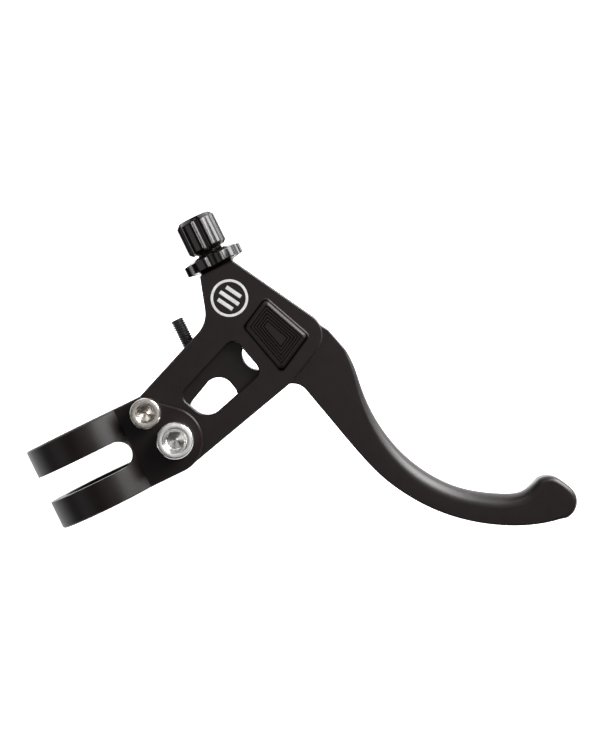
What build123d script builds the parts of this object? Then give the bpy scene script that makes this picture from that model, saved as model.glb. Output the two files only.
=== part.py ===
from build123d import *
import math
import os

# Hand lever with its perch, in millimetres.
# Origin: the handlebar's axis, at the middle of the clamp and of the thickness.
# +X runs along the bar, outboard. +Y runs forward, from the bar to the lever.
# +Z is the side that carries the raised pad and the two screw heads.

# Bar clamp
BAR_R = 11.1
RING_R = 15.95
CLAMP_W = 24.1
SLOT_W = 7.8
SLOT_END_Y = 12.3
EAR_END = (2.6, 22.9)
EAR_END_R = 9.45
EAR_LEFT_Y = 20.8
EAR_T = 2.5

# Perch body
BODY_HALF = 7.2
CLEVIS_HALF = 4.45
EDGE = 0.35
WINDOW_EDGE = 0.3
REAR_WINDOW_GROWTH = 1.2
TAIL_Y = 12.4
TAIL_X = 11.6
NECK_X = -35.2
HEEL_POCKET_R = 7.0
PAD_H = 0.55
PAD_SLOPE = 1.5
GROOVE_PITCH = 0.72
GROOVE_W = 0.32
GROOVE_DEPTH = 0.35
GROOVES = 5
MARK = (-26.0, 55.6)
MARK_R = 5.3
MARK_DEPTH = 0.12

# Lever
LEVER_HALF = 4.0
PIVOT = (3.1, 24.8)
HEEL_R = 6.5
SEAT = (-8.4, 56.1)
SEAT_R = 4.8
CABLE_SLOT_W = 2.4
NOSE_ALONG = ((0.0, 0.5), (0.27, 0.6), (0.45, 3.1), (0.56, 3.7), (0.68, 4.0), (0.86, 4.7), (1.0, 4.7))
TIP_NOSE_SHARE = 0.5
BAR_BEVEL = 0.5
BLADE_STATIONS = 13
TIP_STATIONS = 6
TIP_SHARE = 0.93

# Pivot
SLEEVE_R = 4.0
BUSH_R = 5.0
WASHER_R = 6.3
WASHER_T = 0.4
RUN = 0.05

# Screws: thread radius, head radius and height, hexagon across flats, and the rim round it
M6 = dict(r=3.0, head_r=5.1, head_h=6.0, hexagon=5.0, rim_r=3.55)
M5 = dict(r=2.5, head_r=4.25, head_h=5.0, hexagon=4.0, rim_r=2.65)
CLAMP_SCREW = (-7.3, 20.6)
HOLE_GAP = 0.15
NUT_GAP = 0.02
NUT_WASHER_T = 1.0
HEAD_BEVEL = 0.45
SHANK_BEVEL = 0.5
KEY_DEPTH_SHARE = 0.55
RIM_CONE = 1.3
NUT_BEVEL_SLOPE = 1.2
NUT_FACE_INSET = 0.2

# Reach screw, M4 x 0.7
REACH_Y = 39.2
REACH_PAD_X = -15.2
REACH_R = 2.0
REACH_PITCH = 0.7
REACH_TIP_X = REACH_PAD_X - RUN
REACH_LENGTH = 12.0
REACH_OUT_X = REACH_TIP_X - REACH_LENGTH
REACH_HEXAGON = 2.0
REACH_KEY_DEPTH = 2.2

# Barrel adjuster, M8 x 1
CABLE_Y = SEAT[1]
SHANK_R = 4.0
SHANK_PITCH = 1.0
CAP_R = 5.8
CAP_X = (-51.1, -40.9)
CAP_BEVEL = 1.3
CAP_FOOT_BEVEL = 0.9
CAP_FLUTE = dict(radius=1.4, depth=0.9, phase=math.radians(27.0))
NUT_X = (-40.1, -35.2)
NUT_R = 8.7
NUT_FLUTE = dict(radius=3.4, depth=0.9, phase=math.radians(30.0))
NUT_RIM_X = (-39.1, -36.3)
NUT_TOP_R = 4.6
NUT_BASE = (-35.7, 5.4)
NUT_BOSS_R = 5.0
SHANK_END_X = -23.5
FLUTES = 6
HOUSING_R = 3.1
HOUSING_DEPTH = 7.0
CABLE_R = 1.2

EAR_TOP = BODY_HALF + EAR_T


def plate(outline, low, high):
    """Solid of an XY outline between two heights."""
    return extrude(Pos(0, 0, low) * outline, amount=high - low)


def outline(points, radii):
    return make_face(FilletPolyline(*points, radius=radii, close=True))


def rod_z(at, radius, low, high):
    x, y = at
    return Pos(x, y, (low + high) / 2) * Cylinder(radius, high - low)


def rod_x(y, radius, x_low, x_high):
    return Pos((x_low + x_high) / 2, y, 0) * Rot(0, 90, 0) * Cylinder(radius, x_high - x_low)


def bevelled(shape, low, high, size):
    """Plate with both rims bevelled."""
    solid = plate(shape, low, high)
    rims = [f.outer_wire().edges() for f in solid.faces() if abs(f.normal_at().Z) > 0.99]
    return chamfer([e for rim in rims for e in rim], size)


def save(shape, node):
    export_step(shape, f"parts/{node}.step")


# ---- Bar clamp ----

def ear_outline():
    """Ear: straight outboard side, round end, and a flank tangent to the round end."""
    cx, cy = EAR_END
    left = -CLAMP_W / 2
    reach = math.hypot(cx - left, cy - EAR_LEFT_Y)
    slope = math.atan2(cy - EAR_LEFT_Y, cx - left) + math.asin(EAR_END_R / reach)
    touch = (cx - EAR_END_R * math.sin(slope), cy + EAR_END_R * math.cos(slope))
    side = (cx + EAR_END_R, cy)
    middle = (slope + math.pi / 2) / 2
    crown = (cx + EAR_END_R * math.cos(middle), cy + EAR_END_R * math.sin(middle))
    edges = [
        Line((left, 0), (left, EAR_LEFT_Y)),
        Line((left, EAR_LEFT_Y), touch),
        ThreePointArc(touch, crown, side),
        Line(side, (side[0], 0)),
        Line((side[0], 0), (left, 0)),
    ]
    return make_face(edges)


def bar_clamp():
    half_w = CLAMP_W / 2
    ring = rod_x(0, RING_R, -half_w, half_w)
    ring = chamfer(ring.edges().filter_by(GeomType.CIRCLE), EDGE)
    body = ring + bevelled(ear_outline(), -EAR_TOP, EAR_TOP, EDGE)
    body -= rod_x(0, BAR_R, -CLAMP_W, CLAMP_W)
    body -= Pos(0, 25, 0) * Box(3 * CLAMP_W, 50, 2 * BODY_HALF)
    half = SLOT_W / 2
    slot = Pos(0, SLOT_END_Y - half) * Circle(half)
    slot += Pos(0, SLOT_END_Y - half - 20) * Rectangle(SLOT_W, 40)
    body -= plate(slot, -2 * RING_R, 2 * RING_R)
    for at, screw in ((PIVOT, M6), (CLAMP_SCREW, M5)):
        body -= rod_z(at, screw["r"] + HOLE_GAP, -2 * RING_R, 2 * RING_R)
    return body


# ---- Perch body ----

def body_outline():
    points = [
        (-TAIL_X, TAIL_Y), (-TAIL_X, 19.2), (-22.5, 46.85), (NECK_X, 50.8),
        (NECK_X, 61.0), (-5.2, 77.7), (2.8, 61.5), (11.35, 26.6), (TAIL_X, 22.0), (TAIL_X, TAIL_Y),
    ]
    return outline(points, [1, 4, 8, 0.5, 0.5, 6.5, 30, 3, 3, 1])


def window_outline(grow=0.0):
    points = [(-7.35, 30.7), (-15.6, 51.65), (-3.4, 54.85), (2.2, 35.05)]
    face = outline(points, [2.6, 2.4, 2.6, 4.8])
    if grow:
        face = offset(face, grow)
    return face


def pocket_outline():
    """Gap for the lever's arm: round behind the heel, open outboard and forward."""
    x, y = PIVOT
    points = [
        (x, y - HEEL_POCKET_R), (40, y - HEEL_POCKET_R), (40, 90), (-21.5, 90), (-21.5, 51.5),
        (-19.1, 47.0), (-11.5, 27.6), (-4.5, 27.6), (-4.5, y),
    ]
    face = outline(points, [0, 0, 0, 0, 2, 3, 2, 0, 0])
    return face + Pos(x, y) * Circle(HEEL_POCKET_R)


def pad_outline(inset):
    """Four-sided outline of the pad, drawn in by inset."""
    face = make_face(Polyline((-17.2, 54.9), (-22.4, 64.9), (-6.5, 71.7), (0.0, 59.3), close=True))
    return offset(face, -inset, kind=Kind.INTERSECTION) if inset else face


def pad():
    """Raised pad with sloping sides and nested grooves in its top."""
    top = BODY_HALF + PAD_H
    foot = fillet(pad_outline(0).vertices(), 1.5)
    crown = fillet(pad_outline(PAD_SLOPE).vertices(), 0.8)
    block = loft([Pos(0, 0, BODY_HALF - 0.05) * foot, Pos(0, 0, top) * crown])
    for i in range(GROOVES):
        inset = PAD_SLOPE + (i + 0.6) * GROOVE_PITCH
        band = pad_outline(inset) - pad_outline(inset + GROOVE_W)
        block -= plate(band, top - GROOVE_DEPTH, top + 1)
    return block


def mark():
    """Shallow engraved mark: a ring round three bars, like a clutch pack seen from the side."""
    x, y = MARK
    ring = Circle(MARK_R) - Circle(MARK_R - 0.75)
    bars = Sketch() + [Pos(0, i * 2.1) * Rectangle(6.4 - 1.4 * abs(i), 1.1) for i in (-1, 0, 1)]
    face = Pos(x, y) * Rot(0, 0, 30) * (ring + bars)
    return plate(face, BODY_HALF - MARK_DEPTH, BODY_HALF + 1)


def perch_body():
    body = bevelled(body_outline(), -BODY_HALF, BODY_HALF, EDGE)
    body -= plate(pocket_outline(), -CLEVIS_HALF, CLEVIS_HALF)
    body -= plate(window_outline(), 0, BODY_HALF + 1)
    body -= plate(window_outline(REAR_WINDOW_GROWTH), -BODY_HALF - 1, 0)
    plates = [f for f in body.faces() if abs(abs(f.center().Z) - BODY_HALF) < 0.01]
    rims = [w for f in plates for w in f.inner_wires()]
    body = chamfer([e for w in rims for e in w.edges()], WINDOW_EDGE)
    body += pad()
    body -= mark()
    for at, screw in ((PIVOT, M6), (CLAMP_SCREW, M5)):
        body -= rod_z(at, screw["r"] + HOLE_GAP, -2 * BODY_HALF, 2 * BODY_HALF)
    body -= rod_x(REACH_Y, REACH_R + RUN, -40, -10)
    body -= rod_x(CABLE_Y, SHANK_R + RUN, NECK_X - 1, -15)
    return body


# ---- Lever ----

def finger_side():
    """Finger side of the blade, from its root to the hook."""
    return Spline(
        (1.2, 78.6), (6.0, 78.8), (13.0, 78.0), (20.0, 77.63), (28.0, 78.42), (36.0, 80.65),
        (43.45, 84.4), (50.0, 89.5), (54.85, 95.4), (58.15, 101.0), (59.95, 106.3), (58.7, 111.6),
        tangents=((0.99, 0.12), (-0.3, 0.95)),
    )


def tip_side():
    """Round of the hooked tip, from the hook to the bar side."""
    return Spline(
        (58.7, 111.6), (59.6, 115.7), (63.2, 118.35), (67.2, 119.7), (70.6, 117.9), (71.9, 114.3),
        tangents=((-0.3, 0.95), (0.02, -1.0)),
    )


def bar_side():
    """Bar side of the blade, from its root to the tip."""
    return Spline(
        (7.5, 63.75), (18.6, 66.5), (30.0, 69.4), (38.7, 72.3), (46.7, 76.55), (53.3, 81.4),
        (60.65, 89.05), (65.5, 96.15), (68.6, 102.3), (70.75, 108.55), (71.55, 112.15),
        tangents=((0.975, 0.24), (0.15, 1.0)),
    )


def blade_section(bar_point, finger_point, nose):
    """Section of the blade: round towards the fingers, square with small bevels towards the bar."""
    across = finger_point - bar_point
    width = across.length
    plane = Plane(origin=finger_point, x_dir=across, z_dir=across.cross(Vector(0, 0, 1)))
    half = LEVER_HALF
    quarter = math.sqrt(0.5)
    bulge = (quarter - 1) * nose
    front = Spline(
        (-nose, half), (bulge, quarter * half), (0, 0), (bulge, -quarter * half), (-nose, -half),
        tangents=((1, 0), (-1, 0)),
    )
    back = Polyline(
        (-nose, half), (BAR_BEVEL - width, half), (-width, half - BAR_BEVEL),
        (-width, BAR_BEVEL - half), (BAR_BEVEL - width, -half), (-nose, -half),
    )
    return plane * make_face([front] + back.edges())


def nose_at(u):
    """Depth of the round on the finger side, at a share u of its length."""
    for (u0, depth0), (u1, depth1) in zip(NOSE_ALONG, NOSE_ALONG[1:]):
        if u <= u1:
            return depth0 + (depth1 - depth0) * (u - u0) / (u1 - u0)
    return NOSE_ALONG[-1][1]


def blade():
    """Blade lofted through sections that fan round the tip."""
    finger, tip, bar = finger_side(), tip_side(), bar_side()
    sections = []
    for i in range(BLADE_STATIONS):
        u = i / (BLADE_STATIONS - 1)
        sections.append(blade_section(bar @ (u * TIP_SHARE), finger @ u, nose_at(u)))
    for i in range(1, TIP_STATIONS + 1):
        u = i / TIP_STATIONS
        bar_point = bar @ (TIP_SHARE + (1 - TIP_SHARE) * u)
        finger_point = tip @ u
        nose = min(NOSE_ALONG[-1][1], TIP_NOSE_SHARE * (finger_point - bar_point).length)
        sections.append(blade_section(bar_point, finger_point, nose))
    return loft(sections)


def arm_outline():
    """Arm from the heel on the pivot to the root of the blade."""
    x, y = PIVOT
    heel_right = (x + HEEL_R * math.cos(0.25), y + HEEL_R * math.sin(0.25))
    heel_left = (x + HEEL_R * math.cos(2.6), y + HEEL_R * math.sin(2.6))
    heel = ThreePointArc(heel_right, (x, y - HEEL_R), heel_left)
    root_finger = finger_side() @ 0
    root_bar = bar_side() @ 0
    left = FilletPolyline(
        heel_left, (-9.6, 31.0), (REACH_PAD_X, REACH_Y - 2.3), (REACH_PAD_X, REACH_Y + 2.4),
        (-16.2, 50.0), (-15.6, 62.0), (-12.4, 72.5), (-5.6, 76.75), root_finger,
        radius=[3, 1, 4, 6, 6, 1.5, 0.6],
    )
    right = FilletPolyline(root_bar, (2.2, 62.5), heel_right, radius=[5.0])
    return make_face([heel] + left.edges() + [Line(root_finger, root_bar)] + right.edges())


def lightening_hole():
    points = [(-9.5, 44.1), (1.3, 46.55), (4.0, 33.5), (-3.1, 30.05)]
    return outline(points, [4.4, 4.0, 2.5, 3.5])


def lever():
    x, y = SEAT
    body = plate(arm_outline(), -LEVER_HALF, LEVER_HALF) + blade()
    body -= plate(lightening_hole(), -10, 10)
    body -= rod_z(SEAT, SEAT_R, -10, 10)
    body -= Pos(x - 10, y, -2.0) * Box(20, CABLE_SLOT_W, 6.0)
    body -= rod_z(PIVOT, BUSH_R, -10, 10)
    return body


# ---- Pivot parts ----

def tube(at, outer, inner, low, high):
    return rod_z(at, outer, low, high) - rod_z(at, inner, low - 1, high + 1)


def pivot_sleeve():
    return tube(PIVOT, SLEEVE_R, M6["r"] + HOLE_GAP, -CLEVIS_HALF, CLEVIS_HALF)


def pivot_bush():
    return tube(PIVOT, BUSH_R, SLEEVE_R + RUN, -LEVER_HALF, LEVER_HALF)


def thrust_washer(side):
    gap = (CLEVIS_HALF - LEVER_HALF - WASHER_T) / 2
    ends = sorted((side * (LEVER_HALF + gap), side * (LEVER_HALF + gap + WASHER_T)))
    return tube(PIVOT, WASHER_R, SLEEVE_R + RUN, *ends)


# ---- Fasteners ----

def cap_screw(at, screw, end):
    """Socket head cap screw from its head on the front ear to its end behind the nut."""
    x, y = at
    top = EAR_TOP + screw["head_h"]
    head = rod_z(at, screw["head_r"], EAR_TOP, top)
    head = chamfer(head.edges().group_by(Axis.Z)[-1], HEAD_BEVEL)
    across_corners = screw["hexagon"] / math.sqrt(3)
    key_floor = top - screw["head_h"] * KEY_DEPTH_SHARE
    head -= plate(Pos(x, y) * RegularPolygon(across_corners, 6), key_floor, top + 1)
    head -= Pos(x, y, top) * Cone(screw["rim_r"] - RIM_CONE, screw["rim_r"] + RIM_CONE, 2 * RIM_CONE)
    shank = rod_z(at, screw["r"], end, EAR_TOP)
    shank = chamfer(shank.edges().group_by(Axis.Z)[0], SHANK_BEVEL)
    return head + shank


def nut_washer(at, screw, outer):
    return tube(at, outer, screw["r"] + HOLE_GAP, -EAR_TOP - NUT_WASHER_T, -EAR_TOP)


def hex_nut(at, screw, across_flats, height):
    x, y = at
    top = -EAR_TOP - NUT_WASHER_T
    corner = across_flats / math.sqrt(3)
    body = plate(Pos(x, y) * RegularPolygon(corner, 6), top - height, top)
    face_r = across_flats / 2 - NUT_FACE_INSET
    body &= Pos(x, y, top - height / 2) * Cone(face_r, face_r + height * NUT_BEVEL_SLOPE, height)
    return body - rod_z(at, screw["r"] + NUT_GAP, top - height - 1, top + 1)


def threaded_rod(y, radius, pitch, x_low, x_high):
    """Rod along X with a ring groove at every pitch, in place of the helix."""
    depth = 0.54 * pitch
    turns = int((x_high - x_low) / pitch) - 1
    points = [(x_low, 0), (x_low, radius - depth)]
    for i in range(turns):
        start = x_low + depth + i * pitch
        points += [(start, radius - 0.01), (start + pitch * 0.5, radius - depth)]
    points += [(x_low + depth + turns * pitch, radius - 0.01), (x_high - depth, radius - 0.01)]
    points += [(x_high, radius - depth), (x_high, 0)]
    return Pos(0, y, 0) * revolve(make_face(Polyline(*points, close=True)), Axis.X)


def reach_screw():
    rod = threaded_rod(REACH_Y, REACH_R, REACH_PITCH, REACH_OUT_X, REACH_TIP_X)
    end = Plane(origin=(REACH_OUT_X, REACH_Y, 0), z_dir=(1, 0, 0))
    key = end * RegularPolygon(REACH_HEXAGON / math.sqrt(3), 6)
    return rod - extrude(key, amount=REACH_KEY_DEPTH)


# ---- Adjuster ----

def fluted(radius, flute, x_low, x_high):
    """Round bar with lengthwise flutes."""
    bar = rod_x(CABLE_Y, radius, x_low, x_high)
    reach = radius - flute["depth"] + flute["radius"]
    for i in range(FLUTES):
        a = flute["phase"] + i * 2 * math.pi / FLUTES
        at = Pos((x_low + x_high) / 2, CABLE_Y + reach * math.cos(a), reach * math.sin(a))
        bar -= at * Rot(0, 90, 0) * Cylinder(flute["radius"], x_high - x_low + 1)
    return bar


def turned(profile):
    """Solid of revolution round the cable's axis; the profile is (x, radius) points."""
    return Pos(0, CABLE_Y, 0) * revolve(make_face(Polyline(*profile, close=True)), Axis.X)


def barrel_adjuster():
    low, high = CAP_X
    cap = fluted(CAP_R, CAP_FLUTE, low, high)
    outer = CAP_R + 0.1
    cap &= turned([
        (low, 0), (low, outer - CAP_BEVEL), (low + CAP_BEVEL, outer),
        (high - CAP_FOOT_BEVEL, outer), (high, outer - CAP_FOOT_BEVEL), (high, 0),
    ])
    shank = threaded_rod(CABLE_Y, SHANK_R, SHANK_PITCH, high - 0.5, SHANK_END_X)
    body = cap + shank
    body -= rod_x(CABLE_Y, HOUSING_R, low - 1, low + HOUSING_DEPTH)
    body -= rod_x(CABLE_Y, CABLE_R, low - 1, SHANK_END_X + 1)
    return body


def lock_nut():
    low, high = NUT_X
    disc = fluted(NUT_R, NUT_FLUTE, low, high)
    outer = NUT_R + 0.1
    disc &= turned([
        (low, 0), (low, NUT_TOP_R), (NUT_RIM_X[0], outer), (NUT_RIM_X[1], outer),
        NUT_BASE, (high, NUT_BOSS_R), (high, 0),
    ])
    return disc - rod_x(CABLE_Y, SHANK_R + RUN, low - 1, high + 1)


os.makedirs("parts", exist_ok=True)
nut_end = -EAR_TOP - NUT_WASHER_T
save(bar_clamp(), "bar_clamp")
save(perch_body(), "perch_body")
save(lever(), "lever")
save(pivot_sleeve(), "pivot_sleeve")
save(pivot_bush(), "pivot_bush")
save(thrust_washer(1), "thrust_washer_front")
save(thrust_washer(-1), "thrust_washer_rear")
save(cap_screw(PIVOT, M6, nut_end - 5.0), "pivot_screw")
save(cap_screw(CLAMP_SCREW, M5, nut_end - 4.5), "clamp_screw")
save(nut_washer(PIVOT, M6, 6.0), "pivot_nut_washer")
save(nut_washer(CLAMP_SCREW, M5, 5.0), "clamp_nut_washer")
save(hex_nut(PIVOT, M6, 10.0, 4.8), "pivot_nut")
save(hex_nut(CLAMP_SCREW, M5, 8.0, 4.0), "clamp_nut")
save(reach_screw(), "reach_screw")
save(barrel_adjuster(), "barrel_adjuster")
save(lock_nut(), "lock_nut")
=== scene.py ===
import math
from itertools import product

import bmesh
import bpy
import numpy as np
from mathutils import Matrix, Vector
from mathutils.geometry import tessellate_polygon


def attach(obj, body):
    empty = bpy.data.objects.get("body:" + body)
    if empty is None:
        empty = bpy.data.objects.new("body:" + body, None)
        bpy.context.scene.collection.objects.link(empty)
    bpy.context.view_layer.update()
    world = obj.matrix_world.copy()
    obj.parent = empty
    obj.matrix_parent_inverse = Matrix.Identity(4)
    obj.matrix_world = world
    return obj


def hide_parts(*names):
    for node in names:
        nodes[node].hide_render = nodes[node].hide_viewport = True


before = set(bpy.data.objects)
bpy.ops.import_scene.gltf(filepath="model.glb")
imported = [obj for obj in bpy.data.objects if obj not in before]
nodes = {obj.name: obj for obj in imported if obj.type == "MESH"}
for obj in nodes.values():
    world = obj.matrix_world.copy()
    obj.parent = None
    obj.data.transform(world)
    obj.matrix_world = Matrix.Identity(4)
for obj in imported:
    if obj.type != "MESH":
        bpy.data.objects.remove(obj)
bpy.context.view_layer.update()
MM = 0.001
TAU = 2 * math.pi


# ---- Camera and light ----

VIEW_ROLL = math.radians(64)
VIEW_RIGHT = Vector((math.cos(VIEW_ROLL), math.sin(VIEW_ROLL), 0))
VIEW_UP = Vector((-math.sin(VIEW_ROLL), math.cos(VIEW_ROLL), 0))
VIEW_FROM = Vector((-16.92, 73.22, 548.4)) * MM
VIEW_AT = Vector((2.38, 63.82, 0)) * MM
LENS = 92.4
FLOOR_Z = -60 * MM
FLOOR_HALF = 3.0
FLOOR_GLOW = 0.7
FLOOR_GREY = 0.95
WORLD_STRENGTH = 0.05
LIGHT_TARGET = Vector((5, 60, 0)) * MM
# Name, azimuth and off-axis angle in degrees, distance and size in metres, power in watts.
SOFT_LIGHTS = (
    ("key", 46, 57, 0.9, (0.32, 0.42), 16),
    ("rim", 45, 80, 0.9, (0.6, 0.3), 14),
    ("top", 110, 42, 0.9, (0.6, 0.3), 1.2),
    ("strip", 27, 38, 0.9, (0.4, 0.1), 2.0),
    ("left", 206, 52, 0.9, (0.5, 0.45), 1.0),
    ("front", 45, 3, 0.8, (0.3, 0.3), 0.3),
)


def aimed(obj, source, target, up):
    """Points obj's -Z from source to target, with up as its upward side."""
    back = (source - target).normalized()
    right = up.cross(back).normalized()
    top = back.cross(right)
    turn = Matrix((right, top, back)).transposed().to_4x4()
    obj.matrix_world = Matrix.Translation(source) @ turn
    return obj


def link(name, data):
    obj = bpy.data.objects.new(name, data)
    bpy.context.scene.collection.objects.link(obj)
    return obj


def make_camera():
    data = bpy.data.cameras.new("camera")
    data.lens = LENS
    data.clip_start = 0.01
    data.clip_end = 10
    cam = aimed(link("camera", data), VIEW_FROM, VIEW_AT, VIEW_UP)
    bpy.context.scene.camera = cam


def in_view(right, up, toward):
    """Direction in the row frame from image right, image up and towards the camera."""
    return VIEW_RIGHT * right + VIEW_UP * up + Vector((0, 0, toward))


def soft_light(name, azimuth, off_axis, distance, size, power):
    """Area light; azimuth turns from image right to image up, off_axis from the view's axis."""
    data = bpy.data.lights.new(name, "AREA")
    data.shape = "RECTANGLE"
    data.size, data.size_y = size
    data.energy = power
    a, b = math.radians(azimuth), math.radians(off_axis)
    direction = in_view(math.cos(a) * math.sin(b), math.sin(a) * math.sin(b), math.cos(b))
    source = LIGHT_TARGET + direction * distance
    aimed(link(name, data), source, LIGHT_TARGET, Vector((0, 0, 1)))


def make_floor():
    s = FLOOR_HALF
    corners = [(-s, -s, FLOOR_Z), (s, -s, FLOOR_Z), (s, s, FLOOR_Z), (-s, s, FLOOR_Z)]
    mesh = bpy.data.meshes.new("floor")
    mesh.from_pydata(corners, [], [(0, 1, 2, 3)])
    mat = bpy.data.materials.new("floor")
    mat.use_nodes = True
    shader = mat.node_tree.nodes["Principled BSDF"]
    shader.inputs["Base Color"].default_value = (FLOOR_GREY, FLOOR_GREY, FLOOR_GREY, 1)
    shader.inputs["Roughness"].default_value = 0.9
    shader.inputs["Specular IOR Level"].default_value = 0.1
    shader.inputs["Emission Color"].default_value = (1, 1, 1, 1)
    shader.inputs["Emission Strength"].default_value = FLOOR_GLOW
    mesh.materials.append(mat)
    link("floor", mesh)


def studio():
    world = bpy.data.worlds.new("world")
    world.use_nodes = True
    background = world.node_tree.nodes["Background"]
    background.inputs["Color"].default_value = (1, 1, 1, 1)
    background.inputs["Strength"].default_value = WORLD_STRENGTH
    bpy.context.scene.world = world
    make_floor()
    for settings in SOFT_LIGHTS:
        soft_light(*settings)
    bpy.context.scene.view_settings.view_transform = "Standard"


# ---- Materials ----

BLACK = (0.0048, 0.0026, 0.0027), (0.0064, 0.0037, 0.0038)
BLACK_GRAIN = dict(grain=3000, patch=260, bump=0.8, relief_mm=0.03)
# Heights in mm of the pad's groove floors, where shade is painted.
SHADED_GROOVE_FLOORS = 7.3, 7.5
LEVEL = 0.9


def node(tree, kind, inputs=(), **settings):
    """Adds a shader node, with its settings and plain input values."""
    new = tree.nodes.new(kind)
    for key, value in settings.items():
        setattr(new, key, value)
    for key, value in dict(inputs).items():
        new.inputs[key].default_value = value
    return new


def noise(tree, coords, scale, detail=4.0):
    new = node(tree, "ShaderNodeTexNoise", {"Scale": scale, "Detail": detail})
    tree.links.new(coords, new.inputs["Vector"])
    return new.outputs["Fac"]


def ranged(tree, value, low, high, start=0.3, end=0.7):
    """Maps a texture's value onto a range."""
    new = node(tree, "ShaderNodeMapRange", {1: start, 2: end, 3: low, 4: high})
    tree.links.new(value, new.inputs[0])
    return new.outputs[0]


def tinted(tree, value, dark, light):
    new = node(tree, "ShaderNodeMix", data_type="RGBA")
    new.inputs["A"].default_value = (*dark, 1)
    new.inputs["B"].default_value = (*light, 1)
    tree.links.new(ranged(tree, value, 0.0, 1.0), new.inputs["Factor"])
    return new.outputs["Result"]


def finish(name, tints, metallic, roughness, grain, patch, bump, specular=0.5, relief_mm=0.02):
    """Metal or plastic whose tint, roughness and fine relief all vary over the surface.

    grain and patch are the noise scales of the relief and of the tint."""
    mat = bpy.data.materials.new(name)
    mat.use_nodes = True
    tree = mat.node_tree
    shader = tree.nodes["Principled BSDF"]
    shader.inputs["Metallic"].default_value = metallic
    shader.inputs["Specular IOR Level"].default_value = specular
    coords = node(tree, "ShaderNodeTexCoord").outputs["Object"]
    fine = noise(tree, coords, grain)
    wide = noise(tree, coords, patch, 2.0)
    tree.links.new(tinted(tree, wide, *tints), shader.inputs["Base Color"])
    tree.links.new(ranged(tree, fine, *roughness), shader.inputs["Roughness"])
    relief = node(tree, "ShaderNodeBump", {"Strength": bump, "Distance": relief_mm * MM})
    tree.links.new(fine, relief.inputs["Height"])
    tree.links.new(relief.outputs["Normal"], shader.inputs["Normal"])
    return mat


def painted_groove_shade(mat, low, high):
    """Paints shade on level faces between two heights, in mm: the floors of the grooves.

    Metal of a near-black colour reflects less than the coating round it; this is painted shade in
    the grooves, not a different material there."""
    tree = mat.node_tree
    shader = tree.nodes["Principled BSDF"]
    place = node(tree, "ShaderNodeSeparateXYZ")
    facing = node(tree, "ShaderNodeSeparateXYZ")
    tree.links.new(node(tree, "ShaderNodeTexCoord").outputs["Object"], place.inputs[0])
    tree.links.new(node(tree, "ShaderNodeNewGeometry").outputs["Normal"], facing.inputs[0])
    above = node(tree, "ShaderNodeMath", {1: low * MM}, operation="GREATER_THAN")
    below = node(tree, "ShaderNodeMath", {1: high * MM}, operation="LESS_THAN")
    level = node(tree, "ShaderNodeMath", {1: LEVEL}, operation="GREATER_THAN")
    both = node(tree, "ShaderNodeMath", operation="MULTIPLY")
    # Painted shade mask: level faces between the groove floor heights.
    painted_shade_mask = node(tree, "ShaderNodeMath", operation="MULTIPLY")
    tree.links.new(place.outputs["Z"], above.inputs[0])
    tree.links.new(place.outputs["Z"], below.inputs[0])
    tree.links.new(facing.outputs["Z"], level.inputs[0])
    tree.links.new(above.outputs[0], both.inputs[0])
    tree.links.new(below.outputs[0], both.inputs[1])
    tree.links.new(both.outputs[0], painted_shade_mask.inputs[0])
    tree.links.new(level.outputs[0], painted_shade_mask.inputs[1])
    tree.links.new(painted_shade_mask.outputs[0], shader.inputs["Metallic"])
    return mat


# ---- Curves and outlines ----

SPLINE_STEPS = 40
STRAIGHT = 1.5607
OUTLINE_GAP = 0.7


def spline(points, start, end, steps):
    """Smooth curve through the points, with a direction at each end, as evenly spaced points."""
    p = np.array(points, float)
    h = np.linalg.norm(np.diff(p, axis=0), axis=1)
    slope = np.diff(p, axis=0) / h[:, None]
    n = len(p)
    matrix = np.eye(n)
    known = np.zeros((n, 2))
    known[0] = np.array(start) / np.linalg.norm(start)
    known[-1] = np.array(end) / np.linalg.norm(end)
    for i in range(1, n - 1):
        matrix[i, i - 1:i + 2] = (h[i], 2 * (h[i - 1] + h[i]), h[i - 1])
        known[i] = 3 * (h[i] * slope[i - 1] + h[i - 1] * slope[i])
    m = np.linalg.solve(matrix, known)
    fine = []
    for i in range(n - 1):
        for t in np.linspace(0, 1, SPLINE_STEPS, endpoint=False):
            a = 2 * t**3 - 3 * t**2 + 1
            b = (t**3 - 2 * t**2 + t) * h[i]
            c = 3 * t**2 - 2 * t**3
            d = (t**3 - t**2) * h[i]
            fine.append(a * p[i] + b * m[i] + c * p[i + 1] + d * m[i + 1])
    fine.append(p[-1])
    return evenly(np.array(fine), steps)


def evenly(points, steps):
    """The same line as steps + 1 points at equal spacing."""
    run = np.concatenate([[0], np.cumsum(np.linalg.norm(np.diff(points, axis=0), axis=1))])
    at = np.linspace(0, run[-1], steps + 1)
    return np.column_stack([np.interp(at, run, points[:, k]) for k in range(2)])


def rounded(points, radii, closed=False):
    """Polyline with rounded corners; the ends of an open line stay sharp."""
    p = [np.array(q, float) for q in points]
    n = len(p)
    out = []
    for i in range(n):
        if not closed and i in (0, n - 1):
            out.append(p[i])
            continue
        r = radii[i if closed else i - 1]
        back = p[i - 1] - p[i]
        ahead = p[(i + 1) % n] - p[i]
        back /= np.linalg.norm(back)
        ahead /= np.linalg.norm(ahead)
        half = math.acos(float(np.clip(back @ ahead, -1, 1))) / 2
        if r <= 0 or half > STRAIGHT:
            out.append(p[i])
            continue
        inward = (back + ahead) / np.linalg.norm(back + ahead)
        centre = p[i] + inward * r / math.sin(half)
        first = p[i] + back * r / math.tan(half) - centre
        sweep = math.pi - 2 * half
        turn = -1 if back[0] * ahead[1] - back[1] * ahead[0] > 0 else 1
        steps = max(3, int(sweep * 9), int(sweep * r / 0.5))
        for k in range(steps + 1):
            a = turn * sweep * k / steps
            c, s = math.cos(a), math.sin(a)
            out.append(centre + np.array((c * first[0] - s * first[1], s * first[0] + c * first[1])))
    return np.array(out)


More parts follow.
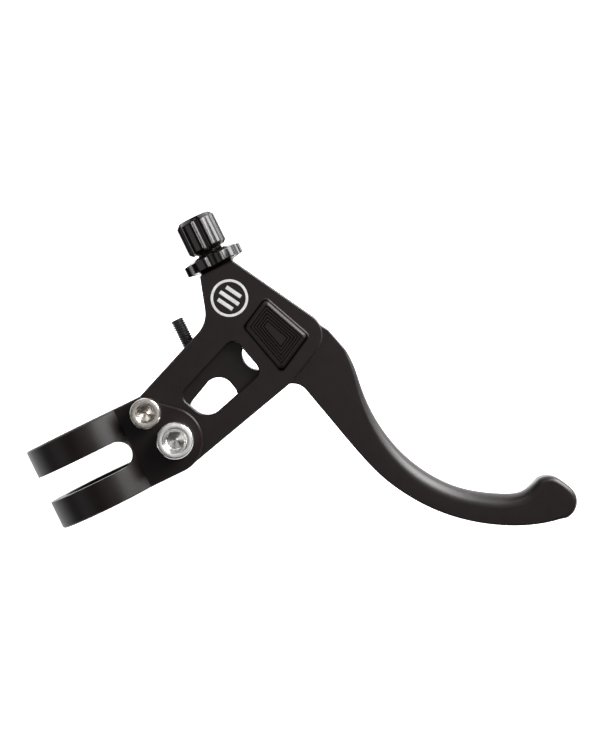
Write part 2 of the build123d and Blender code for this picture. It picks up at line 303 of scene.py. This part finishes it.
def arc(centre, radius, start, end, steps):
    a = np.linspace(start, end, steps + 1)
    return np.column_stack([centre[0] + radius * np.cos(a), centre[1] + radius * np.sin(a)])


def filled(points, spacing, closed=True):
    """Adds points along the straight runs of a line, so that no gap is longer than spacing."""
    out = []
    ends = np.roll(points, -1, axis=0) if closed else points[1:]
    for a, b in zip(points, ends):
        count = max(1, math.ceil(np.linalg.norm(b - a) / spacing))
        out += [a + (b - a) * k / count for k in range(count)]
    return np.array(out)


# ---- Mesh builders ----

WELD = 1e-7
FACE_WEIGHT = 80


def piece(name, verts, faces, material, body, slot, *replaced):
    """Makes a piece that rides on a body and stands for CAD nodes."""
    mesh = bpy.data.meshes.new(name)
    mesh.from_pydata([Vector(v) * MM for v in verts], [], faces)
    mesh.polygons.foreach_set("use_smooth", [True] * len(faces))
    mesh.materials.append(material)
    mesh.update()
    shape = bmesh.new()
    shape.from_mesh(mesh)
    bmesh.ops.remove_doubles(shape, verts=shape.verts, dist=WELD)
    bmesh.ops.recalc_face_normals(shape, faces=shape.faces)
    shape.to_mesh(mesh)
    shape.free()
    obj = link(name, mesh)
    weighted = obj.modifiers.new("weighted", "WEIGHTED_NORMAL")
    weighted.weight = FACE_WEIGHT
    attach(obj, body)
    if replaced:
        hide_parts(*replaced)
    return obj


def rim(loop, inset, drop, low, high, turns=7):
    """Rings from the upper crease over the side to the lower crease of a flat plate.

    The side curves in by inset and down by drop at each point; the inward side is to the left."""
    ahead = np.roll(loop, -1, axis=0) - np.roll(loop, 1, axis=0)
    ahead /= np.linalg.norm(ahead, axis=1)[:, None]
    left = np.column_stack([-ahead[:, 1], ahead[:, 0]])
    rings = []
    for side in (1, -1):
        for k in range(turns + 1):
            a = math.pi / 2 * (1 - k / turns if side > 0 else k / turns)
            xy = loop + left * (inset * (1 - math.cos(a)))[:, None]
            z = high - drop * (1 - math.sin(a)) if side > 0 else low + drop * (1 - math.sin(a))
            rings.append(np.column_stack([xy, z]))
    return rings


def plate_mesh(loops, low, high):
    """Closed plate from an outline and holes; each loop is (points, inset, drop)."""
    verts, faces, top, bottom = [], [], [], []
    for points, inset, drop in loops:
        count = len(points)
        inset = np.broadcast_to(inset, count)
        drop = np.broadcast_to(drop, count)
        rings = rim(points, inset, drop, low, high)
        base = len(verts)
        for ring in rings:
            verts += [tuple(v) for v in ring]
        for j in range(len(rings) - 1):
            for i in range(count):
                k = (i + 1) % count
                a, b = base + j * count, base + (j + 1) * count
                faces.append((a + i, b + i, b + k, a + k))
        top.append(range(base, base + count))
        bottom.append(range(base + (len(rings) - 1) * count, base + len(rings) * count))
    for ends in (top, bottom):
        order = [i for loop in ends for i in loop]
        flat = [[Vector((verts[i][0], verts[i][1], 0)) for i in loop] for loop in ends]
        faces += [tuple(order[i] for i in tri) for tri in tessellate_polygon(flat)]
    return verts, faces


def turned_mesh(rings, place, count, closed):
    """Surface of rings (t, r) or (t, r, shape) round an axis; shape(angle, t, r) bends a ring."""
    verts, faces = [], []
    for ring in rings:
        for i in range(count):
            a = TAU * i / count
            t, r = ring[2](a, ring[0], ring[1]) if len(ring) > 2 else ring
            verts.append(place(t, r * math.cos(a), r * math.sin(a)))
    pairs = [(j, j + 1) for j in range(len(rings) - 1)]
    if closed:
        pairs.append((len(rings) - 1, 0))
    for j, k in pairs:
        for i in range(count):
            n = (i + 1) % count
            faces.append((j * count + i, j * count + n, k * count + n, k * count + i))
    if not closed:
        faces.append(tuple(range(count)))
        faces.append(tuple((len(rings) - 1) * count + i for i in range(count)))
    return verts, faces


def eased(path, size, closed=False, steps=3):
    """A turned profile with every corner rounded by size and a support ring on each side."""
    out = []
    n = len(path)
    p = [np.array(q, float) for q in path]
    for i in range(n):
        if not closed and i in (0, n - 1):
            out.append(tuple(p[i]))
            continue
        back, ahead = p[i - 1] - p[i], p[(i + 1) % n] - p[i]
        reach = min(size, 0.4 * np.linalg.norm(back), 0.4 * np.linalg.norm(ahead))
        a = p[i] + back / np.linalg.norm(back) * reach
        b = p[i] + ahead / np.linalg.norm(ahead) * reach
        for k in range(steps + 1):
            u = k / steps
            out.append(tuple((1 - u)**2 * a + 2 * u * (1 - u) * p[i] + u * u * b))
    return out


def along_z(x, y):
    return lambda t, u, v: (x + u, y + v, t)


def along_x(y):
    return lambda t, u, v: (t, y + u, v)


def soft_min(a, b, blend):
    """The smaller of two lengths, with a rounded meeting."""
    h = max(blend - abs(a - b), 0) / blend
    return min(a, b) - h * h * blend / 4


def hexagon(angle, across_flats):
    """Distance from the axis to a hexagon's side; a corner lies at angle 0."""
    return across_flats / 2 / math.cos((angle % (TAU / 6)) - TAU / 12)


def thread(radius, pitch, start, hand=1):
    """Helical thread for the rings of a turned shape: depth fades in at start."""
    def shape(angle, t, r):
        turn = (t / pitch + hand * angle / TAU) % 1
        depth = 0.54 * pitch * min(1.0, 1.25 * abs(2 * turn - 1))
        fade = min(1.0, max(0.0, abs(t - start) / pitch))
        return t, min(r, radius - 0.01 - depth * fade)
    return shape


# ---- Lever ----

LEVER_HALF = 4.0
PIVOT = (3.1, 24.8)
HEEL_R = 6.5
SEAT = (-8.4, 56.1)
SEAT_R = 4.8
BUSH_R = 5.0
EDGE = 0.4
HOLE_EDGE = 0.3
# Share of the way along the finger side or the tip, and the depth of the round there.
NOSE_ALONG = (
    (0.0, 0.5), (0.03, 0.9), (0.14, 1.4), (0.26, 2.2), (0.4, 3.2), (0.55, 4.0), (0.85, 4.0),
    (0.93, 3.2), (1.0, 1.8),
)
TIP_ALONG = ((0.0, 1.8), (0.3, 1.5), (0.8, 1.4), (1.0, 0.9))
HEEL_FROM = 0.25
HEEL_TO = 2.6
CABLE_SLOT_W = 2.4


def lever_outline():
    """Lever's outline with how far the side curves in at each point."""
    x, y = PIVOT
    finger = spline(
        [(1.2, 78.6), (6.0, 78.8), (13.0, 78.0), (20.0, 77.63), (28.0, 78.42), (36.0, 80.65),
         (43.45, 84.4), (50.0, 89.5), (54.85, 95.4), (58.15, 101.0), (59.95, 106.3), (58.7, 111.6)],
        (0.99, 0.12), (-0.3, 0.95), 200)
    tip = spline(
        [(58.7, 111.6), (59.6, 115.7), (63.2, 118.3), (67.2, 119.48), (70.75, 117.8), (72.1, 114.3)],
        (-0.3, 0.95), (0.02, -1.0), 60)
    bar = spline(
        [(7.5, 63.75), (18.6, 66.5), (30.0, 69.4), (38.7, 72.3), (46.7, 76.55), (53.3, 81.4),
         (60.65, 89.05), (65.5, 96.15), (68.6, 102.3), (70.75, 108.55), (71.55, 112.15)],
        (0.975, 0.24), (0.15, 1.0), 200)[::-1]
    heel_right = (x + HEEL_R * math.cos(HEEL_FROM), y + HEEL_R * math.sin(HEEL_FROM))
    heel_left = (x + HEEL_R * math.cos(HEEL_TO), y + HEEL_R * math.sin(HEEL_TO))
    left = rounded(
        [heel_left, (-9.6, 31.0), (-15.2, 36.9), (-15.2, 41.6), (-16.2, 50.0), (-15.6, 62.0),
         (-12.4, 72.5), (-5.6, 76.75), finger[0]],
        [3, 1, 4, 6, 6, 1.5, 0.6])
    right = rounded([bar[-1], (2.2, 62.5), heel_right], [5.0])
    heel = arc(PIVOT, HEEL_R, HEEL_FROM, HEEL_TO - TAU, 60)
    arm = filled(np.concatenate([right, heel[1:-1], left]), OUTLINE_GAP, False)[1:]
    share = np.linspace(0, 1, len(finger))
    inset = [
        np.interp(share, *zip(*NOSE_ALONG)),
        np.interp(np.linspace(0, 1, len(tip)), *zip(*TIP_ALONG))[1:],
        np.interp(np.linspace(0, 1, len(bar)), (0, 0.06, 1), (0.9, EDGE, EDGE)),
        np.full(len(arm), EDGE),
    ]
    inset = np.concatenate(inset)
    loop = np.concatenate([finger, tip[1:], bar, arm])
    return loop[::-1], smoothed(inset, 6)[::-1]


def smoothed(values, times):
    for _ in range(times):
        values = (np.roll(values, 1) + 2 * values + np.roll(values, -1)) / 4
    return values


def ring_hole(centre, radius, steps=72):
    """Round hole as a loop whose left side is the material."""
    return arc(centre, radius, 0, -TAU, steps)[:-1]


def counter(loop):
    """The loop turned anticlockwise."""
    x, y = loop[:, 0], loop[:, 1]
    area = float(np.sum(x * np.roll(y, -1) - y * np.roll(x, -1)))
    return loop if area > 0 else loop[::-1]


def hole_loop(points, radii):
    return counter(filled(rounded(points, radii, True), OUTLINE_GAP))[::-1]


def cut_slot(obj, low, high):
    """Cuts a box out of a piece."""
    verts = list(product(*zip(low, high)))
    faces = [(0, 1, 3, 2), (4, 6, 7, 5), (0, 4, 5, 1), (2, 3, 7, 6), (0, 2, 6, 4), (1, 5, 7, 3)]
    mesh = bpy.data.meshes.new("cutter")
    mesh.from_pydata([Vector(v) * MM for v in verts], [], faces)
    cutter = link("cutter", mesh)
    cut = obj.modifiers.new("slot", "BOOLEAN")
    cut.object = cutter
    cut.solver = "EXACT"
    obj.modifiers.move(len(obj.modifiers) - 1, 0)
    made = bpy.data.meshes.new_from_object(obj.evaluated_get(bpy.context.evaluated_depsgraph_get()))
    obj.modifiers.remove(cut)
    obj.data = made
    bpy.data.objects.remove(cutter)


def make_lever():
    outer, inset = lever_outline()
    drop = np.minimum(LEVER_HALF - 0.05, np.maximum(inset * 1.05, EDGE))
    corners = [(-9.5, 44.1), (1.3, 46.55), (4.0, 33.5), (-3.1, 30.05)]
    window = hole_loop(corners, [4.4, 4.0, 2.5, 3.5])
    loops = [
        (outer, inset, drop),
        (window, HOLE_EDGE, HOLE_EDGE),
        (ring_hole(SEAT, SEAT_R), HOLE_EDGE, HOLE_EDGE),
        (ring_hole(PIVOT, BUSH_R), 0.2, 0.2),
    ]
    verts, faces = plate_mesh(loops, -LEVER_HALF, LEVER_HALF)
    obj = piece("lever_blade", verts, faces, satin, "lever_arm", "satin_black", "lever")
    x, y = SEAT
    half = CABLE_SLOT_W / 2
    cut_slot(obj, (x - 12, y - half, -6), (x - 1, y + half, 1.0))


# ---- Adjuster ----

CABLE_Y = SEAT[1]
FLUTES = 6
CAP_R = 5.8
CAP_X = (-51.1, -40.9)
NUT_X = (-40.1, -35.2)
NUT_R = 8.7
NUT_RIM_X = (-39.1, -36.3)
NUT_FOOT_R = 5.0
NUT_BORE_R = 4.06
SHANK_R = 4.0
SHANK_END_X = -23.5
SHANK_PITCH = 1.0
CABLE_BORE_R = 1.25
HOUSING_BORE_R = 3.1
HOUSING_DEPTH = 7.0
THREAD_RINGS = 10
CAP_FLUTE = dict(radius=1.4, depth=0.9, phase=math.radians(27), outer=CAP_R, blend=0.12)
NUT_FLUTE = dict(radius=3.4, depth=0.9, phase=math.radians(30), outer=NUT_R, blend=0.25)
REACH_Y = 39.2
REACH_X = (-27.25, -15.25)
REACH_R = 2.0
REACH_PITCH = 0.7
REACH_KEY = 2.0


def flutes(radius, depth, phase, outer, blend):
    """Shape for lengthwise flutes; angles start at +Y."""
    reach = outer - depth + radius

    def shape(angle, t, r):
        off = (angle - phase + TAU / 12) % (TAU / FLUTES) - TAU / 12
        sine = reach * math.sin(off)
        if abs(sine) >= radius:
            return t, r
        wall = reach * math.cos(off) - math.sqrt(radius**2 - sine**2)
        return t, soft_min(r, wall, blend)
    return shape


def make_adjuster():
    low, high = CAP_X
    back = high - 0.3
    seat = low + HOUSING_DEPTH
    fluted = flutes(**CAP_FLUTE)
    profile = [
        (seat, CABLE_BORE_R), (seat, HOUSING_BORE_R), (low + 0.35, HOUSING_BORE_R),
        (low, HOUSING_BORE_R + 0.35), (low, 4.5), (low + 1.3, CAP_R), (high - 0.9, CAP_R),
        (high, CAP_R - 0.9), (high, 4.05), (back, 3.9), (back, CABLE_BORE_R),
    ]
    rings = [(t, r, fluted) for t, r in eased(profile, 0.16, True)]
    verts, faces = turned_mesh(rings, along_x(CABLE_Y), 288, True)
    piece("adjuster_cap", verts, faces, gloss, "adjuster", "gloss_black", "barrel_adjuster")
    cut = thread(SHANK_R, SHANK_PITCH, SHANK_END_X)
    count = int((SHANK_END_X - back) / SHANK_PITCH * THREAD_RINGS)
    rings = [(back + (SHANK_END_X - back) * i / count, SHANK_R, cut) for i in range(count + 1)]
    rings += [(SHANK_END_X, 1.5), (SHANK_END_X - 0.3, CABLE_BORE_R), (back, CABLE_BORE_R)]
    verts, faces = turned_mesh(rings, along_x(CABLE_Y), 60, True)
    piece("adjuster_shank", verts, faces, gloss, "adjuster", "gloss_black")


def make_lock_nut():
    low, high = NUT_X
    lobed = flutes(**NUT_FLUTE)
    profile = [
        (low, 4.35), (low, 4.9), (NUT_RIM_X[0], NUT_R), (NUT_RIM_X[1], NUT_R), (-35.7, 5.5),
        (high, NUT_FOOT_R), (high, 4.35), (high - 0.3, NUT_BORE_R), (low + 0.3, NUT_BORE_R),
    ]
    rings = [(t, r, lobed) for t, r in eased(profile, 0.22, True)]
    verts, faces = turned_mesh(rings, along_x(CABLE_Y), 240, True)
    piece("lock_nut_disc", verts, faces, gloss, "adjuster_nut", "gloss_black", "lock_nut")


def make_reach_screw():
    out, tip = REACH_X
    cut = thread(REACH_R, REACH_PITCH, out)

    def key(angle, t, r):
        return t, min(r, hexagon(angle, REACH_KEY))
    socket = out + 2.2
    rings = [(socket, 0.3), (socket, 0.95, key), (socket - 0.1, 1.6, key), (out + 0.25, 1.6, key)]
    rings += [(out + 0.05, 1.25), (out, 1.35), (out, 1.5), (out + 0.1, 1.62)]
    run = tip - out - 0.7
    count = int(run / REACH_PITCH * THREAD_RINGS)
    rings += [(out + 0.2 + run * i / count, REACH_R, cut) for i in range(count + 1)]
    rings += [(tip - 0.25, 1.5), (tip - 0.05, 1.3), (tip, 1.15), (tip, 0.3)]
    verts, faces = turned_mesh(rings, along_x(REACH_Y), 72, False)
    piece("reach_set_screw", verts, faces, oxide, "reach_stop", "black_steel", "reach_screw")


# ---- Fasteners and pivot parts ----

EAR_TOP = 9.7
NUT_TOP = -EAR_TOP - 1.0
CLAMP_SCREW = (-7.3, 20.6)
M6 = dict(r=3.0, head_r=5.1, head_h=6.0, key=5.0, rim_r=3.55, end=NUT_TOP - 5.0, pitch=1.0)
M5 = dict(r=2.5, head_r=4.25, head_h=5.0, key=4.0, rim_r=2.65, end=NUT_TOP - 4.5, pitch=0.8)
SOCKET_SHARE = 0.55
SOCKET_CONE = 1.3
SOCKET_R = 3.9
HEAD_CHAMFER = 0.25
THREAD_FROM = -EAR_TOP + 2


def make_cap_screw(name, replaced, at, screw, material):
    """Socket head cap screw, turned, with a flared hexagon socket."""
    top = EAR_TOP + screw["head_h"]
    floor = top - SOCKET_SHARE * screw["head_h"]
    rim_r, head_r, r = screw["rim_r"], screw["head_r"], screw["r"]

    def wall(angle, t, radius):
        return t, min(radius, hexagon(angle, screw["key"]))

    def lip(below):
        def shape(angle, t, radius):
            corner = hexagon(angle, screw["key"])
            return top - (rim_r - corner) - below, corner + max(0.0, -below)
        return shape
    rings = [(floor - SOCKET_CONE, 0.3), (floor, 0.8 * r, wall)]
    rings += [(floor, SOCKET_R, wall), (floor + 0.12, SOCKET_R, wall)]
    rings += [(0, 0, lip(0.1)), (0, 0, lip(0.03)), (0, 0, lip(-0.05))]
    outside = [
        (top - 0.15, rim_r - 0.15), (top, rim_r), (top, head_r - HEAD_CHAMFER),
        (top - HEAD_CHAMFER, head_r), (EAR_TOP + 0.12, head_r), (EAR_TOP + 0.01, head_r - 0.12),
        (EAR_TOP + 0.01, r),
    ]
    rings += eased(outside, 0.1)
    cut = thread(r, screw["pitch"], THREAD_FROM)
    run = THREAD_FROM - screw["end"]
    count = int(run / screw["pitch"] * THREAD_RINGS)
    rings.append((THREAD_FROM + 0.5, r - 0.01))
    rings += [(THREAD_FROM - run * i / count, r, cut) for i in range(count)]
    rings += [(screw["end"] + 0.05, r - 0.55), (screw["end"], r - 0.65), (screw["end"], 0.4)]
    verts, faces = turned_mesh(rings, along_z(*at), 96, False)
    piece(name, verts, faces, material, "perch", "stainless", replaced)


def make_hex_nut(name, replaced, at, bore, across, height):
    corner_cut = across / 2 - 0.15
    bottom = NUT_TOP - height

    def shape(angle, t, r):
        if r < across * 0.45:
            return t, r
        cone = corner_cut + min(NUT_TOP - t, t - bottom) * 2.2
        return t, soft_min(min(r, cone), hexagon(angle, across), 0.12)
    profile = [
        (NUT_TOP - 0.35, bore), (NUT_TOP, bore + 0.35), (NUT_TOP, across * 0.46),
        (NUT_TOP - 0.05, across), (NUT_TOP - 0.5, across), (NUT_TOP - 1.0, across),
        (bottom + 1.0, across), (bottom + 0.5, across), (bottom + 0.05, across),
        (bottom, across * 0.46), (bottom, bore + 0.35), (bottom + 0.35, bore),
    ]
    rings = [(t, r, shape) for t, r in profile]
    verts, faces = turned_mesh(rings, along_z(*at), 120, True)
    piece(name, verts, faces, plated, "perch", "plated_steel", replaced)


def make_tube(name, replaced, at, radii, span, b, material, body, slot):
    """Washer, sleeve or bush, with corners bevelled by b."""
    outer, inner = radii
    low, high = span
    profile = [
        (low, inner + b), (low, outer - b), (low + b, outer), (high - b, outer),
        (high, outer - b), (high, inner + b), (high - b, inner), (low + b, inner),
    ]
    rings = eased(profile, 0.4 * b, True)
    verts, faces = turned_mesh(rings, along_z(*at), 96, True)
    piece(name, verts, faces, material, body, slot, replaced)


def make_pivot():
    make_tube("sleeve", "pivot_sleeve", PIVOT, (4.0, 3.15), (-4.45, 4.45), 0.2,
              plated, "perch", "plated_steel")
    make_tube("bush", "pivot_bush", PIVOT, (BUSH_R, 4.05), (-LEVER_HALF, LEVER_HALF), 0.2,
              bronze, "lever_arm", "bronze")
    for name, span in (("front", (4.025, 4.425)), ("rear", (-4.425, -4.025))):
        make_tube("washer_" + name, "thrust_washer_" + name, PIVOT, (6.3, 4.05), span, 0.08,
                  plastic, "perch", "slippery_plastic")
    for name, at, radii in (("pivot", PIVOT, (6.0, 3.15)), ("clamp", CLAMP_SCREW, (5.0, 2.65))):
        make_tube(name + "_flat_washer", name + "_nut_washer", at, radii, (NUT_TOP, -EAR_TOP), 0.12,
                  plated, "perch", "plated_steel")
    make_hex_nut("pivot_hex_nut", "pivot_nut", PIVOT, 3.02, 10.0, 4.8)
    make_hex_nut("clamp_hex_nut", "clamp_nut", CLAMP_SCREW, 2.52, 8.0, 4.0)


# ---- Etched mark ----

BODY_HALF = 7.2
MARK = Vector((-26.0, 55.6))
MARK_R = 5.3
MARK_RING_W = 0.74
MARK_GAP = 0.01
MARK_BAR_HALF_W = 0.54
MARK_BAR_STEP = 2.1
MARK_TURN = math.radians(30)


def make_mark():
    """Thin pale fill in the etched ring and its three bars."""
    low, high = BODY_HALF - 0.11, BODY_HALF - MARK_GAP
    edge = (MARK_GAP, MARK_GAP)
    outer = arc(MARK, MARK_R - MARK_GAP, 0, TAU, 96)[:-1]
    inner = ring_hole(MARK, MARK_R - MARK_RING_W, 96)
    verts, faces = plate_mesh([(outer, *edge), (inner, *edge)], low, high)
    piece("mark_ring", verts, faces, etched, "perch", "satin_black")
    turn = Matrix.Rotation(MARK_TURN, 2)
    wide = MARK_BAR_HALF_W
    for i in (-1, 0, 1):
        half = (6.4 - 1.4 * abs(i)) / 2 - MARK_GAP
        corners = [(-half, -wide), (half, -wide), (half, wide), (-half, wide)]
        bar = np.array([MARK + turn @ Vector((x, y + MARK_BAR_STEP * i)) for x, y in corners])
        verts, faces = plate_mesh([(filled(bar, 0.5), *edge)], low, high)
        piece("mark_bar_" + "abc"[i + 1], verts, faces, etched, "perch", "satin_black")


# ---- Assembly ----

make_camera()
studio()

satin = finish("satin_black", BLACK, 0.0, (0.33, 0.41), specular=0.27, **BLACK_GRAIN)
dull_satin = finish("clamp_black", BLACK, 0.0, (0.34, 0.42), specular=0.18, **BLACK_GRAIN)
# Satin black with painted shade on the pad's groove floors.
satin_with_painted_groove_shade = painted_groove_shade(satin.copy(), *SHADED_GROOVE_FLOORS)
gloss = finish(
    "gloss_black", ((0.004, 0.003, 0.003), (0.0055, 0.0042, 0.004)),
    0.0, (0.09, 0.13), 7000, 300, 0.04, 0.25)
oxide = finish(
    "black_steel", ((0.012, 0.011, 0.011), (0.02, 0.018, 0.018)), 0.0, (0.28, 0.4), 7000, 700, 0.1)
steel = finish(
    "stainless", ((0.84, 0.83, 0.81), (0.94, 0.93, 0.91)), 1.0, (0.18, 0.26), 6000, 500, 0.03)
warm_steel = finish(
    "clamp_stainless", ((0.54, 0.50, 0.46), (0.62, 0.58, 0.53)), 1.0, (0.2, 0.3), 6000, 500, 0.03)
plated = finish(
    "plated_steel", ((0.5, 0.51, 0.52), (0.6, 0.61, 0.62)), 1.0, (0.25, 0.4), 5000, 600, 0.15)
bronze = finish(
    "bronze", ((0.50, 0.33, 0.16), (0.6, 0.41, 0.21)), 1.0, (0.32, 0.45), 9000, 900, 0.3)
plastic = finish(
    "slippery_plastic", ((0.7, 0.69, 0.65), (0.78, 0.77, 0.73)), 0.0, (0.35, 0.45), 5000, 500, 0.05)
etched = finish(
    "etched_grey", ((0.36, 0.35, 0.35), (0.46, 0.45, 0.45)), 0.0, (0.5, 0.65), 9000, 900, 0.2)

make_lever()
make_adjuster()
make_lock_nut()
make_reach_screw()
make_cap_screw("pivot_cap_screw", "pivot_screw", PIVOT, M6, steel)
make_cap_screw("clamp_cap_screw", "clamp_screw", CLAMP_SCREW, M5, warm_steel)
make_pivot()
make_mark()
for name, material in (("perch_body", satin_with_painted_groove_shade), ("bar_clamp", dull_satin)):
    nodes[name].data.materials.clear()
    nodes[name].data.materials.append(material)
